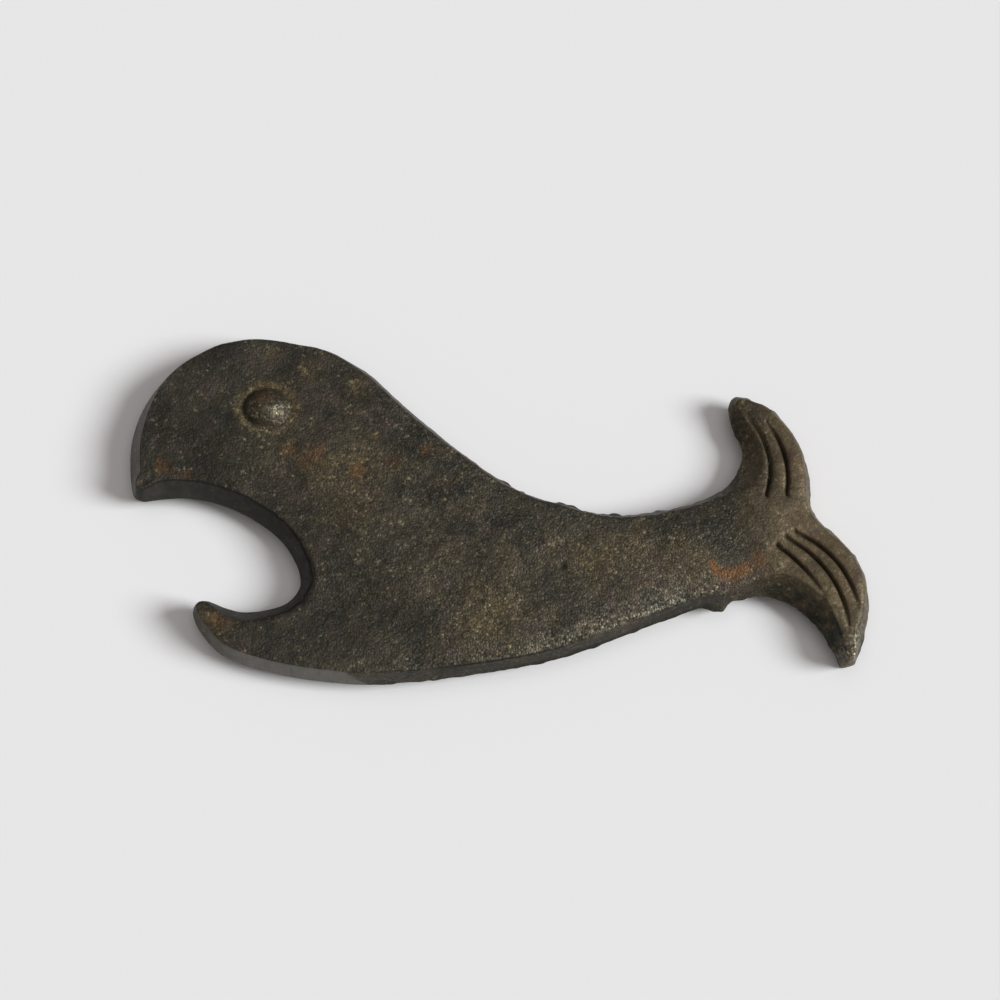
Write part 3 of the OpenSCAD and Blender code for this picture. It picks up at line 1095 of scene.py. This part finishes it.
shader.inputs["Specular IOR Level"].default_value = 0.25
gloss = stretch(pattern(2.2, 4), 0.3, 0.7, 0.42, 0.56)
shine = times(wear_and_highlight_here, -0.12)
tree.links.new(plus(plus(gloss, shine), plus(times(dirt_and_shade_here, 0.25), times(mouth_oil_and_shade, 0.15))),
               shader.inputs["Roughness"])
metal = plus(times(ground_here, 0.25), plus(times(wear_and_highlight_here, 0.3), 0.45))
tree.links.new(plus(metal, times(mouth_oil_and_shade, -0.3)), shader.inputs["Metallic"])
grain_domes = times(grain_cells.outputs["Distance"], -0.9)
sand = plus(plus(grain_domes, pattern(0.8, 3)), times(pattern(0.18, 2), 0.5))
smooth_here = stretch(plus(mask("ground"), times(mouth_oil_and_shade, 0.8)), 0.0, 1.0, 1.0, 0.2)
bump = add("ShaderNodeBump", {"Height": times(times(sand, smooth_here), calm_flukes),
                              "Strength": 1.0, "Distance": RELIEF * MM})
tree.links.new(bump.outputs["Normal"], shader.inputs["Normal"])
whale_mesh.materials.append(iron)
print(len(tree.nodes), "nodes in the iron")

# %% [markdown]
# ## The table and the light
#
# The casting lies on a plain pale table. Two far lights stand for the room. Daylight from a
# large window on the right, a little nearer to us than the casting, draws soft shadows to the
# left and puts the bright edges where the surface turns towards it. Warmer light comes down
# from the ceiling, and a dim warm sky keeps the shadows open. Area lights would do as well, but
# far lights give the same brightness all over the table.

# %% Table
TABLE = 20              # metres from the middle to each side, so no edge shows

table_mesh = bpy.data.meshes.new("table")
table_corners = [(-TABLE, -TABLE, 0), (TABLE, -TABLE, 0), (TABLE, TABLE, 0), (-TABLE, TABLE, 0)]
table_mesh.from_pydata(table_corners, [], [(0, 1, 2, 3)])
table = bpy.data.objects.new("table", table_mesh)
bpy.context.scene.collection.objects.link(table)
table_finish = bpy.data.materials.new("pale_table")
table_finish.use_nodes = True
table_shader = table_finish.node_tree.nodes["Principled BSDF"]
table_shader.inputs["Base Color"].default_value = (0.80, 0.80, 0.81, 1)
table_shader.inputs["Roughness"].default_value = 0.9
table_shader.inputs["Specular IOR Level"].default_value = 0.1
table_mesh.materials.append(table_finish)
print("The table is", 2 * TABLE, "m square")


# %% Light
def far_light(name, turn, height, spread, strength, colour):
    """Light from far away. Its turn from +X, its height and the spread of its disc are degrees."""
    data = bpy.data.lights.new(name, "SUN")
    data.angle = math.radians(spread)
    data.energy = strength
    data.color = colour
    light = bpy.data.objects.new(name, data)
    turn = math.radians(turn)
    height = math.radians(height)
    direction = Vector((math.cos(height) * math.cos(turn), math.cos(height) * math.sin(turn),
                        math.sin(height)))
    light.location = direction
    light.rotation_euler = direction.to_track_quat("Z", "Y").to_euler()
    bpy.context.scene.collection.objects.link(light)
    print(name, "from", [round(c, 2) for c in direction])


far_light("window", -8, 38, 27, 3.36, (0.985, 0.997, 1.0))
far_light("ceiling", 90, 88, 70, 0.68, (1.0, 0.955, 0.925))

sky = bpy.data.worlds.new("sky")
sky.use_nodes = True
background = sky.node_tree.nodes["Background"]
background.inputs["Color"].default_value = (1.0, 0.94, 0.91, 1)
background.inputs["Strength"].default_value = 0.14
bpy.context.scene.world = sky
bpy.context.scene.view_settings.view_transform = "Standard"

# %% [markdown]
# ## Finish
#
# The CAD model's box is printed. The visual model is no larger than the design, because its
# points were clipped to that box.

# %% Print the CAD box and finish
print("CAD box", np.round(np.array(cad_box) / MM, 2).tolist())
